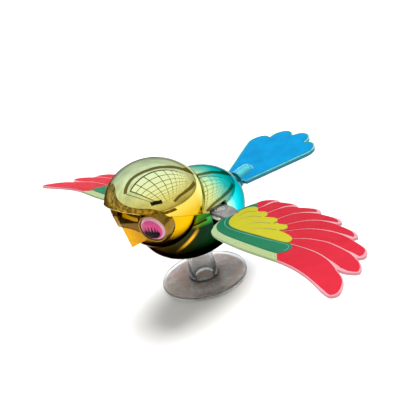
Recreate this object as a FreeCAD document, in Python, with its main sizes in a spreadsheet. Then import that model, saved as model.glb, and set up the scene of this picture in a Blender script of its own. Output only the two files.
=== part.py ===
import FreeCAD, Part
import math
import os
import Sketcher
from FreeCAD import Placement, Rotation, Vector

# A plated plastic bird on a clear stand, with wings that flap as it bobs on its spring.
# The origin is the centre of the underside that it rests on: +Z is up, the bird faces -Y,
# and its left wing is on the +X side. All sizes are in millimetres and degrees.

SIZES = {
    # stand
    "disc_radius": 22.5,
    "disc_thick": 1.2,
    "disc_rim_width": 1.4,
    "disc_rim_rise": 0.4,
    "disc_edge_break": 0.3,
    "liner_thick": 0.15,
    "pad_thick": 0.6,
    "pad_radius": 21.3,
    "liner_radius": 21.6,
    "post_foot_radius": 7.6,
    "post_radius": 6.8,
    "post_bore": 4.9,
    "post_taper_top": 12.0,
    "post_top": 23.6,
    "socket_radius": 6.0,
    "cap_radius": 8.3,
    "cap_thick": 1.5,
    "cap_spigot": 4.0,
    "rod_radius": 1.5,
    "rod_gap": 0.5,
    "rod_top": 50.0,
    "nut_width": 1.8,
    "nut_height": 1.4,
    "nut_bevel": 0.6,
    # shells
    "wall": 1.5,
    "lower_inset": 0.2,
    "head_x": 23.5,
    "head_y": 25.0,
    "head_z": 21.7,
    "head_front": -16.2,
    "head_height": 52.0,
    "face_y": 18.3,
    "body_x": 22.7,
    "body_y": 30.0,
    "body_z": 22.3,
    "body_front": 2.4,
    "body_height": 38.0,
    "nose_up": 18.0,
    "parting_front": -18.0,
    "parting_height": 51.0,
    "parting_slope": 23.0,
    # mechanism
    "tooth_module": 1.0,
    "sector_teeth": 16,
    "tooth_backlash": 0.2,
    "tooth_reach": 0.85,
    "tooth_depth": 1.15,
    "rack_thick": 4.0,
    "rack_half_height": 6.6,
    "pin_x": 16.0,
    "pin_height": 41.5,
    "pin_radius": 1.0,
    "pin_fit": 0.05,
    "hub_radius": 2.6,
    "hub_front": -2.0,
    "hub_back": 8.0,
    "arm_thick": 1.8,
    "arm_end": 25.0,
    "arm_front": -1.2,
    "arm_back": 7.2,
    "frame_low": 30.6,
    "frame_thick": 1.6,
    "frame_wall": 1.8,
    "frame_gap": 0.6,
    "frame_half_width": 17.8,
    "frame_wall_top": 45.0,
    "screw_x": 12.0,
    "screw_y": 6.0,
    "screw_radius": 0.9,
    "screw_head_radius": 1.9,
    "screw_head_thick": 1.2,
    "screw_length": 4.6,
    "boss_radius": 2.3,
    "boss_foot": 19.5,
    "bush_low": 16.2,
    "bush_high": 21.5,
    "bush_wall": 1.6,
    "bush_flange": 1.4,
    "bush_flange_thick": 1.2,
    "bush_bevel": 1.2,
    "slide_fit": 0.08,
    "spring_radius": 4.6,
    "spring_wire": 0.3,
    "spring_turns": 4,
    # wings
    "wing_height": 42.0,
    "wing_thick": 1.6,
    "wing_pitch": 10.0,
    "wing_droop": 1.9,
    "tab_start": 19.2,
    "tab_end": 30.5,
    "tab_front": -1.5,
    "tab_back": 7.5,
    "hole_reach": 10.0,
    "peg_x": 22.3,
    "peg_radius": 0.9,
    "peg_head_radius": 1.5,
    "peg_head_thick": 0.5,
    "slot_front": -2.4,
    "slot_back": 8.7,
    "slot_low": 38.0,
    "slot_high": 45.9,
    # face
    "eye_x": 16.5,
    "eye_front": -31.1,
    "eye_height": 49.6,
    "eye_turn": 26.0,
    "eye_dip": 6.0,
    "eye_radius": 6.1,
    "eye_bulge": 1.2,
    "eye_edge": 0.6,
    "eye_gap": 0.1,
    "eye_front_gap": 1.2,
    "socket_radius_low": 8.6,
    "socket_rim": 0.9,
    "socket_shoulder": -2.2,
    "socket_proud": 0.5,
    "socket_recess": 1.3,
    "socket_deep": 7.5,
    "beak_front": -35.4,
    "beak_lean": 9.1,
    "beak_flare": 4.2,
    "beak_depth": 8.5,
    "beak_half_width": 10.0,
    "beak_height": 14.5,
    "beak_tip_height": 37.2,
    "beak_underside_rise": 4.7,
    # tail
    "tail_thick": 2.2,
    "tail_root": 34.2,
    "tail_rise": 7.0,
    "tail_height": 40.8,
    "tail_root_half": 8.0,
    "barrel_radius": 3.9,
    "barrel_length": 12.0,
    "barrel_end_wall": 2.0,
    "collar_radius": 5.2,
    "collar_thick": 2.8,
    "tail_peg_radius": 2.0,
    "tail_peg_depth": 8.0,
}

PRESSURE_ANGLE = math.radians(20)
SIDES = {"left": 1, "right": -1}

document = FreeCAD.newDocument("WingedBird")
finished = []


def make_sheet():
    """Driving dimensions, one per row, with the name beside each value."""
    sheet = document.addObject("Spreadsheet::Sheet", "Sizes")
    for row, (alias, value) in enumerate(SIZES.items(), start=1):
        sheet.set(f"A{row}", alias)
        sheet.set(f"B{row}", str(value))
        sheet.setAlias(f"B{row}", alias)
    document.recompute()
    return sheet


sizes = make_sheet()


def size(alias):
    return float(sizes.get(alias))


def bind(target, **expressions):
    """Ties properties to the sheet: a bare word is one cell, anything else a formula."""
    for prop, expression in expressions.items():
        target.setExpression(prop.replace("__", "."), in_sheet(expression))


def in_sheet(expression):
    """Puts the sheet's name before each of its aliases in a formula."""
    words = expression.replace("(", " ( ").replace(")", " ) ").split()
    return " ".join(f"Sizes.{word}" if word in SIZES else word for word in words)


def finish(piece, label):
    """Names a sub-part and puts it on the list to be written."""
    piece.Label = label
    finished.append(piece)
    return piece


# ---------------------------------------------------------------- shared builders

def new_body(name):
    return document.addObject("PartDesign::Body", name)


def sketch_on(body, plane, name):
    sketch = body.newObject("Sketcher::SketchObject", name)
    role = f"{plane}_Plane"
    support = next(item for item in body.Origin.OriginFeatures if item.Role == role)
    sketch.AttachmentSupport = [(support, "")]
    sketch.MapMode = "FlatFace"
    return sketch


def add_bound_profile(sketch, corners):
    """Closed outline of straight lines whose corners are held by formulas of the sheet."""
    count = len(corners)
    places = [Vector(evaluate(sketch, x), evaluate(sketch, y), 0) for x, y in corners]
    for index in range(count):
        sketch.addGeometry(Part.LineSegment(places[index], places[(index + 1) % count]))
    for index in range(count):
        sketch.addConstraint(Sketcher.Constraint("Coincident", index, 2, (index + 1) % count, 1))
    for index, (x, y) in enumerate(corners):
        hold_corner(sketch, index, "DistanceX", -2, places[index].x, x)
        hold_corner(sketch, index, "DistanceY", -1, places[index].y, y)


def evaluate(sketch, expression):
    value = sketch.evalExpression(in_sheet(expression))
    return float(getattr(value, "Value", value))


def hold_corner(sketch, index, kind, axis, value, expression):
    if abs(value) < 1e-9:
        sketch.addConstraint(Sketcher.Constraint("PointOnObject", index, 1, axis))
        return
    number = sketch.addConstraint(Sketcher.Constraint(kind, -1, 1, index, 1, value))
    sketch.setExpression(f"Constraints[{number}]", in_sheet(expression))


def turned_body(name, corners):
    """Body of revolution about the upright axis, from a profile of (radius, height)."""
    body = new_body(name)
    sketch = sketch_on(body, "XZ", name + "_profile")
    add_bound_profile(sketch, corners)
    revolution = body.newObject("PartDesign::Revolution", name + "_turn")
    revolution.Profile = sketch
    revolution.ReferenceAxis = (sketch, ["V_Axis"])
    revolution.Angle = 360
    return body


def pad_along_y(body, name, edges, front, back):
    """Pads an upright outline between two distances along the bird's length."""
    sketch = sketch_on(body, "XZ", name + "_outline")
    bind(sketch, AttachmentOffset__Base__z=f"-1 * ({back})")
    for edge in edges:
        sketch.addGeometry(edge)
    return pad(body, name, sketch, f"({back}) - ({front})")


def pad(body, name, sketch, length):
    feature = body.newObject("PartDesign::Pad", name)
    feature.Profile = sketch
    bind(feature, Length=length)
    return feature


def box(name, x, y, z):
    """Part box between bounds given as pairs of formulas."""
    block = document.addObject("Part::Box", name)
    bind(
        block,
        Length=f"({x[1]}) - ({x[0]})",
        Width=f"({y[1]}) - ({y[0]})",
        Height=f"({z[1]}) - ({z[0]})",
        Placement__Base__x=x[0],
        Placement__Base__y=y[0],
        Placement__Base__z=z[0],
    )
    return block


def cylinder(name, radius, height, placement=None):
    rod = document.addObject("Part::Cylinder", name)
    bind(rod, Radius=radius, Height=height)
    if placement:
        rod.Placement = placement
    return rod


def cut(name, base, tool):
    result = document.addObject("Part::Cut", name)
    result.Base = base
    result.Tool = tool
    return result


def fuse(name, shapes):
    result = document.addObject("Part::MultiFuse", name)
    result.Shapes = shapes
    return result


def common(name, first, second):
    result = document.addObject("Part::MultiCommon", name)
    result.Shapes = [first, second]
    return result


def line(start, end):
    return Part.LineSegment(Vector(*start, 0), Vector(*end, 0))


def arc(start, middle, end):
    return Part.Arc(Vector(*start, 0), Vector(*middle, 0), Vector(*end, 0))


def outline(points):
    """Closed run of straight lines."""
    return [line(points[index - 1], points[index]) for index in range(len(points))]


def polar(centre, radius, angle):
    return (centre[0] + radius * math.cos(angle), centre[1] + radius * math.sin(angle))


# ---------------------------------------------------------------- stand

def make_disc():
    """Clear disc with a socket hole for the post and a raised rim."""
    low = "liner_thick + pad_thick"
    top = f"{low} + disc_thick"
    rim = f"{top} + disc_rim_rise"
    body = turned_body("Disc", [
        ("socket_radius", low),
        ("disc_radius - disc_edge_break", low),
        ("disc_radius", f"{low} + disc_edge_break"),
        ("disc_radius", f"{rim} - disc_edge_break"),
        ("disc_radius - disc_edge_break", rim),
        ("disc_radius - disc_rim_width", rim),
        ("disc_radius - disc_rim_width - disc_rim_rise", top),
        ("socket_radius", top),
    ])
    finish(body, "base_disc")


def make_pad_and_liner():
    """Foam tape under the disc and the paper that covers its glue."""
    pad_piece = cylinder("Pad", "pad_radius", "pad_thick")
    bind(pad_piece, Placement__Base__z="liner_thick")
    finish(pad_piece, "adhesive_pad")
    finish(cylinder("Liner", "liner_radius", "liner_thick"), "pad_liner")


def make_post():
    """Clear tube that tapers to a straight top, on which the bird slides."""
    low = "liner_thick + pad_thick"
    shoulder = f"{low} + disc_thick"
    body = turned_body("Post", [
        ("post_bore", low),
        ("socket_radius", low),
        ("socket_radius", shoulder),
        ("post_foot_radius", shoulder),
        ("post_radius", "post_taper_top"),
        ("post_radius", "post_top"),
        ("post_bore", "post_top"),
    ])
    finish(body, "stand_post")


def make_cap():
    """Plug in the top of the post: it keeps the bird on and seats the spring."""
    body = turned_body("Cap", [
        ("rod_radius", "post_top - cap_spigot"),
        ("post_bore", "post_top - cap_spigot"),
        ("post_bore", "post_top"),
        ("cap_radius", "post_top"),
        ("cap_radius", "post_top + cap_thick"),
        ("rod_radius", "post_top + cap_thick"),
    ])
    finish(body, "post_cap")


def make_rod():
    rod = cylinder("Rod", "rod_radius", "rod_top - post_top + cap_spigot")
    bind(rod, Placement__Base__z="post_top - cap_spigot")
    finish(rod, "drive_rod")


def rack_edge(pitch_x, centre_z, side):
    """Toothed edge from bottom to top. A gap faces the pin's height."""
    pitch = math.pi * size("tooth_module")
    half_tooth = (pitch / 2 - size("tooth_backlash")) / 2
    slope = math.tan(PRESSURE_ANGLE)
    tip = pitch_x + size("tooth_reach")
    root = pitch_x - size("tooth_depth")
    half_tip = half_tooth - size("tooth_reach") * slope
    half_root = half_tooth + size("tooth_depth") * slope
    points = [(side * root, centre_z - size("rack_half_height"))]
    for number in (-2, -1, 0, 1):
        middle = centre_z + (number + 0.5) * pitch
        points.append((side * root, middle - half_root))
        points.append((side * tip, middle - half_tip))
        points.append((side * tip, middle + half_tip))
        points.append((side * root, middle + half_root))
    points.append((side * root, centre_z + size("rack_half_height")))
    return points


def pitch_radius():
    return size("tooth_module") * size("sector_teeth") / 2


def make_rack():
    """Block with teeth on both sides, fixed on the rod. The wing levers roll on it."""
    pitch_x = size("pin_x") - pitch_radius()
    right = rack_edge(pitch_x, size("pin_height"), 1)
    left = rack_edge(pitch_x, size("pin_height"), -1)
    body = new_body("Rack")
    edges = outline(right + left[::-1])
    pad_along_y(body, "RackBlock", edges, "-1 * rack_thick / 2", "rack_thick / 2")
    bore = cylinder("RackBore", "rod_radius", "rack_half_height * 2 + 2")
    bind(bore, Placement__Base__z="pin_height - rack_half_height - 1")
    finish(cut("RackBored", body, bore), "double_rack")


def make_rack_nut():
    """Push-on nut that holds the rack on the top of the rod."""
    low = "pin_height + rack_half_height"
    top = f"{low} + nut_height"
    body = turned_body("Nut", [
        ("rod_radius", low),
        ("rod_radius + nut_width", low),
        ("rod_radius + nut_width", f"{top} - nut_bevel"),
        ("rod_radius + nut_width - nut_bevel", top),
        ("rod_radius", top),
    ])
    finish(body, "rack_nut")


# ---------------------------------------------------------------- shells

def ellipsoid(name, part, less, reach):
    """Head or body form, made smaller all round by a formula's value."""
    form = document.addObject("Part::Ellipsoid", name)
    bind(
        form,
        Radius1=f"{part}_z - ({less})",
        Radius2=f"{part}_x - ({less})",
        Radius3=f"{reach} - ({less})",
    )
    turn = -size("nose_up") if part == "head" else 0
    centre = Vector(0, size(f"{part}_front"), size(f"{part}_height"))
    form.Placement = Placement(centre, Rotation(Vector(1, 0, 0), turn))
    return form


def bird_form(name, less, head_reach="head_y"):
    """Head and body together. Under the brow the face reaches less far forward."""
    head = ellipsoid(name + "Head", "head", less, head_reach)
    return fuse(name, [head, ellipsoid(name + "Body", "body", less, "body_y")])


def half_space(name, above):
    """Large block on one side of the parting plane, which slopes down to the tail."""
    length, depth = 160, 70
    block = document.addObject("Part::Box", name)
    block.Length, block.Width, block.Height = length, length, depth
    turn = Rotation(Vector(1, 0, 0), -size("parting_slope"))
    corner = Vector(-length / 2, -length / 2, 0 if above else -depth)
    centre = Vector(0, size("parting_front"), size("parting_height"))
    block.Placement = Placement(centre + turn.multVec(corner), turn)
    return block


def eye_placement(side, along=0):
    """Place whose Z axis points out of an eye."""
    turn, dip = math.radians(size("eye_turn")), math.radians(size("eye_dip"))
    level = math.cos(dip)
    outward = Vector(side * math.sin(turn) * level, -math.cos(turn) * level, -math.sin(dip))
    centre = Vector(side * size("eye_x"), size("eye_front"), size("eye_height"))
    return Placement(centre + outward * along, Rotation(Vector(0, 0, 1), outward))


def eye_seats(name):
    """Spaces that the eye sockets fill, kept open for a little way in front of the eyes."""
    front = "socket_proud + eye_front_gap"
    seats = []
    for label, side in SIDES.items():
        seat = turned_body(f"{name}_{label}", [
            ("0", "-1 * socket_deep"),
            ("socket_radius_low", "-1 * socket_deep"),
            ("socket_radius_low", "socket_shoulder"),
            ("eye_radius + socket_rim", "socket_proud"),
            ("eye_radius + socket_rim", front),
            ("0", front),
        ])
        seat.Placement = eye_placement(side)
        seats.append(seat)
    return seats


def wing_slots(name):
    """Openings in the sides that the wing arms swing in."""
    y, z = ("slot_front", "slot_back"), ("slot_low", "slot_high")
    return [
        box(name + "_left", ("pin_x", "tab_end"), y, z),
        box(name + "_right", ("-1 * tab_end", "-1 * pin_x"), y, z),
    ]


def tail_seat(name):
    """Holes that the tail's peg and collar sit in."""
    return [
        cylinder(name + "Peg", "tail_peg_radius", "barrel_length", tail_axis(-size("tail_peg_depth"))),
        cylinder(name + "Collar", "collar_radius", "barrel_length", tail_axis(-size("collar_thick"))),
    ]


def tail_tilt(local):
    """Moves from the tail's own level frame, with its root at the origin, to its place."""
    place = Vector(0, size("tail_root"), size("tail_height"))
    return Placement(place, Rotation(Vector(1, 0, 0), size("tail_rise"))).multiply(local)


def tail_axis(along):
    """Line of the tail's peg, which points back through the middle of the blade."""
    return tail_tilt(Placement(Vector(0, along, 0), Rotation(Vector(1, 0, 0), -90)))


def make_upper_shell():
    """Upper half of the plated skin, from the parting line over the head and back."""
    skin = cut("UpperSkin", bird_form("UpperOuter", "0"), bird_form("UpperInner", "wall"))
    half = common("UpperHalf", skin, half_space("AboveParting", True))
    tools = eye_seats("UpperEye") + wing_slots("UpperSlot") + tail_seat("UpperTail")
    tools.append(make_beak_form("UpperBeak"))
    finish(cut("UpperShell", half, fuse("UpperTools", tools)), "upper_shell")


def make_lower_shell():
    """Lower half of the skin, a little smaller, so that the upper half overhangs it."""
    outer = bird_form("LowerOuter", "lower_inset", "face_y")
    skin = cut("LowerSkin", outer, bird_form("LowerInner", "wall + lower_inset", "face_y"))
    half = common("LowerHalf", skin, half_space("BelowParting", False))
    trim = bird_form("BossTrim", "lower_inset", "face_y")
    bosses = common("Bosses", fuse("BossPair", boss_blanks()), trim)
    bush_hole = cylinder("BushHole", "post_radius + slide_fit + bush_wall", "frame_low")
    pilots = [screw_line(f"Pilot{label}", side, "screw_radius", PILOT_LOW, "frame_low + screw_length")
              for label, side in SIDES.items()]
    tools = eye_seats("LowerEye") + wing_slots("LowerSlot") + pilots
    tools += [bush_hole, make_beak_form("LowerBeak")]
    blank = fuse("LowerWithBosses", [half, bosses])
    finish(cut("LowerShell", blank, fuse("LowerTools", tools)), "lower_shell")


PILOT_LOW = "frame_low - screw_length - screw_radius"


def screw_line(name, side, radius, low, high):
    """Upright cylinder on the line of one frame screw."""
    post = cylinder(name, radius, f"({high}) - ({low})")
    bind(
        post,
        Placement__Base__x=f"{side} * screw_x",
        Placement__Base__y="screw_y",
        Placement__Base__z=low,
    )
    return post


def boss_blanks():
    return [screw_line(f"Boss{label}", side, "boss_radius", "boss_foot", "frame_low")
            for label, side in SIDES.items()]


# ---------------------------------------------------------------- mechanism in the bird

def make_bush():
    """Flanged bush in the belly that runs on the post."""
    bore = "post_radius + slide_fit"
    outer = f"{bore} + bush_wall"
    flange = f"{outer} + bush_flange"
    body = turned_body("Bush", [
        (bore, "bush_low"),
        (outer, "bush_low + bush_bevel"),
        (outer, "bush_high - bush_flange_thick"),
        (flange, "bush_high - bush_flange_thick"),
        (flange, "bush_high"),
        (bore, "bush_high"),
    ])
    finish(body, "post_bush")


def make_frame():
    """Base plate with two walls that carry both wing pins."""
    top = "frame_low + frame_thick"
    across = ("-1 * frame_half_width", "frame_half_width")
    front = ("hub_front - frame_gap - frame_wall", "hub_front - frame_gap")
    back = ("hub_back + frame_gap", "hub_back + frame_gap + frame_wall")
    plate = box("FramePlate", across, (front[0], back[1]), ("frame_low", top))
    walls = [box(name, across, y, ("frame_low", "frame_wall_top"))
             for name, y in (("FrameFront", front), ("FrameBack", back))]
    rod_hole = cylinder("FrameRodHole", "rod_radius + rod_gap", "frame_low")
    bind(rod_hole, Placement__Base__z="frame_low - frame_thick")
    holes = [rod_hole]
    for label, side in SIDES.items():
        holes.append(pin_cylinder(f"FramePin{label}", side, "pin_radius"))
        holes.append(screw_line(f"FrameScrew{label}", side, "screw_radius", "boss_foot", "frame_wall_top"))
    blank = fuse("FrameBlank", [plate] + walls)
    finish(cut("Frame", blank, fuse("FrameHoles", holes)), "mechanism_frame")


def pin_cylinder(name, side, radius):
    """Cylinder on a wing's hinge axis, through both walls of the frame."""
    reach = "hub_back - hub_front + 2 * (frame_gap + frame_wall)"
    front = size("hub_front") - size("frame_gap") - size("frame_wall")
    start = Vector(side * size("pin_x"), front, size("pin_height"))
    return cylinder(name, radius, reach, Placement(start, Rotation(Vector(1, 0, 0), -90)))


def make_pins():
    pins = document.addObject("Part::Compound", "Pins")
    pins.Links = [pin_cylinder(f"Pin{label}", side, "pin_radius") for label, side in SIDES.items()]
    finish(pins, "wing_pins")


def make_screws():
    """Two self-tapping screws that hold the frame on the bosses."""
    seat = "frame_low + frame_thick"
    screws = []
    for label, side in SIDES.items():
        shank = screw_line(f"Shank{label}", side, "screw_radius", "frame_low - screw_length", seat)
        top = f"{seat} + screw_head_thick"
        head = screw_line(f"Head{label}", side, "screw_head_radius", seat, top)
        screws.append(fuse(f"Screw{label}", [shank, head]))
    pair = document.addObject("Part::Compound", "Screws")
    pair.Links = screws
    finish(pair, "frame_screws")


def make_spring():
    """Open coil between the post's cap and the frame, which holds the bird up."""
    wire = size("spring_wire")
    low = size("post_top") + size("cap_thick") + wire
    height = size("frame_low") - wire - low
    turns = size("spring_turns")
    path = Part.makeHelix(height / turns, height, size("spring_radius"))
    start = Vector(size("spring_radius"), 0, 0)
    section = Part.Wire(Part.makeCircle(wire, start, Vector(0, 1, 0)))
    spring = document.addObject("Part::Feature", "Spring")
    spring.Shape = Part.Wire(path).makePipeShell([section], True, True)
    spring.Placement = Placement(Vector(0, 0, low), Rotation())
    finish(spring, "return_spring")


# ---------------------------------------------------------------- wings

# Outline of a wing seen from above, as (distance out from the bird's middle, distance
# back): the leading edge, then each of the eight flight feathers from its front corner
# round its tip to the notch behind it, then the root edge.
LEADING_EDGE = [
    (30.4, -4.7), (34, -11.5), (40, -16.8), (56, -18), (79, -16.8), (93, -19.4), (105.5, -25),
]
FEATHERS = [
    [(110, -26.2), (111.3, -23), (109, -17.7), (105, -12.8), (99, -8.7)],
    [(103, -8.5), (106.5, -6), (105, -2), (101.4, 1.5), (98.6, 3.2)],
    [(100, 6), (99, 9.3), (95.4, 13), (85.8, 17.1)],
    [(86.4, 20.5), (81.7, 23.9), (71.1, 26)],
    [(72, 28.7), (67.5, 31.4), (57.8, 30.7)],
    [(57, 33), (52.5, 34.6), (45.6, 30.6)],
    [(41.1, 32.6), (34.7, 30)],
    [(31, 30.8), (27.4, 26.6), (27, 21)],
]
ROOT_EDGE = [(27, 21), (27, 13.5), (28.6, 3.5), (30.4, -4.7)]


def curve(points):
    spline = Part.BSplineCurve()
    spline.interpolate([Vector(*point, 0) for point in points])
    return spline


def wing_edges(side):
    """Closed outline of one wing."""
    def place(points):
        return [(side * x, y) for x, y in points]

    edges = [curve(place(LEADING_EDGE))]
    start = LEADING_EDGE[-1]
    for feather in FEATHERS:
        edges.append(curve(place([start] + feather)))
        start = feather[-1]
    edges.append(curve(place(ROOT_EDGE)))
    return edges


def make_wing(label, side):
    """Moulded wing: a thin plate of feathers and a flat tab that sits on the lever."""
    name = "Wing" + label.title()
    body = new_body(name + "Plate")
    sketch = sketch_on(body, "XY", name + "_feathers")
    for edge in wing_edges(side):
        sketch.addGeometry(edge)
    pad(body, name + "_plate", sketch, "wing_thick")
    middle = (size("tab_front") + size("tab_back")) / 2
    root = Vector(side * size("tab_end"), middle, size("wing_height"))
    tilt = Rotation(Vector(0, 1, 0), side * size("wing_droop"))
    tilt = tilt.multiply(Rotation(Vector(1, 0, 0), -size("wing_pitch")))
    body.Placement = Placement(root - tilt.multVec(Vector(root.x, root.y, 0)), tilt)
    x = ("tab_start", "tab_end") if side > 0 else ("-1 * tab_end", "-1 * tab_start")
    tab = box(name + "Tab", x, ("tab_front", "tab_back"), (TAB_LOW, f"{TAB_LOW} + wing_thick"))
    hole = peg_cylinder(name + "Hole", side, "peg_radius", "pin_height", "hole_reach")
    finish(cut(name, fuse(name + "Blank", [body, tab]), hole), f"wing_{label}")


TAB_LOW = "pin_height + arm_thick / 2"


def peg_cylinder(name, side, radius, low, height):
    peg = cylinder(name, radius, height)
    middle = "( tab_front + tab_back ) / 2"
    bind(
        peg,
        Placement__Base__x=f"{side} * peg_x",
        Placement__Base__y=middle,
        Placement__Base__z=low,
    )
    return peg


def make_peg(label, side):
    """Rivet that joins a wing's tab to its lever."""
    low = "pin_height - arm_thick / 2"
    top = f"{TAB_LOW} + wing_thick"
    shank = peg_cylinder(f"PegShank{label}", side, "peg_radius", low, f"{top} - ({low})")
    head = peg_cylinder(f"PegHead{label}", side, "peg_head_radius", top, "peg_head_thick")
    finish(fuse(f"Peg{label}", [shank, head]), f"wing_rivet_{label}")


def involute_half_angle(radius):
    """Half of a sector tooth's width at a radius, as an angle from the pin."""
    pitch = pitch_radius()
    base = pitch * math.cos(PRESSURE_ANGLE)
    half_pitch = math.pi / (2 * size("sector_teeth")) - size("tooth_backlash") / (2 * pitch)

    def involute(angle):
        return math.tan(angle) - angle

    return half_pitch + involute(PRESSURE_ANGLE) - involute(math.acos(min(1, base / radius)))


def sector_edges(centre, side):
    """Toothed sector that faces the rack, with one tooth level with the pin."""
    pitch = pitch_radius()
    base = pitch * math.cos(PRESSURE_ANGLE)
    root, tip = pitch - size("tooth_depth"), pitch + size("tooth_reach")
    middle = (base + tip) / 2
    facing = math.pi if side > 0 else 0
    step = 2 * math.pi / size("sector_teeth")
    edges, last = [], None
    for number in (-2, -1, 0, 1, 2):
        angle = facing + number * step
        low_root = polar(centre, root, angle - involute_half_angle(base))
        if last:
            edges.append(arc(last, polar(centre, root, angle - step / 2), low_root))
        else:
            first = low_root
        radii = (base, middle, tip)
        rising = [polar(centre, r, angle - involute_half_angle(r)) for r in radii]
        falling = [polar(centre, r, angle + involute_half_angle(r)) for r in radii[::-1]]
        last = polar(centre, root, angle + involute_half_angle(base))
        edges.append(line(low_root, rising[0]))
        edges.append(arc(*rising))
        edges.append(arc(rising[2], polar(centre, tip, angle), falling[0]))
        edges.append(arc(*falling))
        edges.append(line(falling[2], last))
    heel = (centre[0] + side * size("hub_radius") / 2, centre[1])
    edges.append(line(last, heel))
    edges.append(line(heel, first))
    return edges


def make_lever(label, side):
    """Wing lever: a hub on the pin, a toothed sector inside and an arm outside."""
    name = "Lever" + label.title()
    centre = (side * size("pin_x"), size("pin_height"))
    body = new_body(name + "Body")
    hub = [Part.Circle(Vector(*centre, 0), Vector(0, 0, 1), size("hub_radius"))]
    pad_along_y(body, name + "Hub", hub, "hub_front", "hub_back")
    pad_along_y(body, name + "Sector", sector_edges(centre, side), "hub_front", "rack_thick / 2")
    half = size("arm_thick") / 2
    near, far = centre[0], side * size("arm_end")
    low, high = centre[1] - half, centre[1] + half
    arm = outline([(near, low), (far, low), (far, high), (near, high)])
    pad_along_y(body, name + "Arm", arm, "arm_front", "arm_back")
    bore = pin_cylinder(name + "Bore", side, "pin_radius + pin_fit")
    hole = peg_cylinder(name + "PegHole", side, "peg_radius", "pin_height - hole_reach / 2", "hole_reach")
    finish(cut(name, body, fuse(name + "Holes", [bore, hole])), f"wing_lever_{label}")


# ---------------------------------------------------------------- face

def make_beak_form(name):
    """Short wedge of a beak: a sharp ridge in front and an underside that rises to the back.

    The tip is at the origin of the body, which then leans forward at the top.
    """
    body = new_body(name)
    plan = sketch_on(body, "XY", name + "_plan")
    add_bound_profile(plan, [
        ("0", "0"),
        ("beak_half_width", "beak_flare"),
        ("beak_half_width", "beak_depth"),
        ("-1 * beak_half_width", "beak_depth"),
        ("-1 * beak_half_width", "beak_flare"),
    ])
    pad(body, name + "_block", plan, "beak_height")
    side_view = sketch_on(body, "YZ", name + "_underside")
    bind(side_view, AttachmentOffset__Base__z="-1 * beak_half_width - 1")
    add_bound_profile(side_view, [
        ("0", "0"),
        ("0", "-1"),
        ("beak_depth + 1", "-1"),
        ("beak_depth + 1", "beak_underside_rise * ( beak_depth + 1 ) / beak_flare"),
    ])
    underside = body.newObject("PartDesign::Pocket", name + "_cut")
    underside.Profile = side_view
    underside.Reversed = True
    bind(underside, Length="2 * beak_half_width + 2")
    tip = Vector(0, size("beak_front"), size("beak_tip_height"))
    body.Placement = Placement(tip, Rotation(Vector(1, 0, 0), size("beak_lean")))
    return body


def make_beak():
    seats = fuse("BeakSeats", eye_seats("BeakEye"))
    finish(cut("BeakTrimmed", make_beak_form("Beak"), seats), "beak")


def make_eye(label, side):
    """Socket that tapers to a rim round a dish, and the domed disc of the eye in it."""
    name = "Eye" + label.title()
    proud, dish = "socket_proud", "socket_proud - socket_recess"
    socket = turned_body(name + "Socket", [
        ("0", "-1 * socket_deep"),
        ("socket_radius_low", "-1 * socket_deep"),
        ("socket_radius_low", "socket_shoulder"),
        ("eye_radius + socket_rim", proud),
        ("eye_radius + socket_rim / 2", proud),
        ("eye_radius + eye_gap", f"{proud} - socket_rim / 2"),
        ("eye_radius + eye_gap", dish),
        ("0", dish),
    ])
    socket.Placement = eye_placement(side)
    finish(socket, f"eye_socket_{label}")
    finish(make_eye_disc(name + "Disc", side), f"eye_disc_{label}")


def make_eye_disc(name, side):
    """Round disc with a flat back and a front that is part of a sphere."""
    radius, bulge = size("eye_radius"), size("eye_bulge")
    low = size("socket_proud") - size("socket_recess")
    edge = low + size("eye_edge")
    ball_radius = (radius ** 2 + bulge ** 2) / (2 * bulge)
    ball = document.addObject("Part::Sphere", name + "Ball")
    bind(ball, Radius="( eye_radius ^ 2 + eye_bulge ^ 2 ) / ( 2 * eye_bulge )")
    place = eye_placement(side, edge + bulge - ball_radius)
    ball.Placement = place
    slug = cylinder(name + "Slug", "eye_radius", "eye_edge + eye_bulge", eye_placement(side, low))
    return common(name, ball, slug)


# ---------------------------------------------------------------- tail

# Points of one half of the tail, as (distance from its middle, distance behind its root).
TAIL_SHOULDER = (21.8, 31)
TAIL_LOBES = [((22.5, 38), (13, 42)), ((7, 50.5), (0, 47))]


def tail_half(side):
    """One side of the tail's outline, from the middle of the root to the middle of the end."""
    def place(point):
        return (side * point[0], point[1])

    root = (size("tail_root_half"), 0)
    edges = [line((0, 0), place(root)), line(place(root), place(TAIL_SHOULDER))]
    start = TAIL_SHOULDER
    for tip, notch in TAIL_LOBES:
        edges.append(arc(place(start), place(tip), place(notch)))
        start = notch
    return edges


def make_tail():
    """Flat blade with four lobes and a round barrel that the peg goes into."""
    body = new_body("TailBody")
    sketch = sketch_on(body, "XY", "TailOutline")
    for edge in tail_half(1) + tail_half(-1):
        sketch.addGeometry(edge)
    blade = pad(body, "TailBlade", sketch, "tail_thick")
    blade.Midplane = True
    body.Placement = tail_tilt(Placement())
    barrel = cylinder("TailBarrel", "barrel_radius", "barrel_length", tail_axis(0))
    bore = cylinder("TailBore", "tail_peg_radius", "barrel_length - barrel_end_wall", tail_axis(0))
    finish(cut("Tail", fuse("TailBlank", [body, barrel]), bore), "tail")


def make_tail_peg():
    """Peg that is pushed into the back of the bird and into the tail's barrel."""
    length = "tail_peg_depth + barrel_length - barrel_end_wall"
    finish(cylinder("TailPeg", "tail_peg_radius", length, tail_axis(-size("tail_peg_depth"))), "tail_peg")


def make_tail_collar():
    """Ring between the body and the tail's barrel."""
    place = tail_axis(-size("collar_thick"))
    ring = cylinder("CollarRing", "collar_radius", "collar_thick", place)
    hole = cylinder("CollarHole", "tail_peg_radius", "collar_thick", place)
    finish(cut("Collar", ring, hole), "tail_collar")


# ---------------------------------------------------------------- whole object

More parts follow.
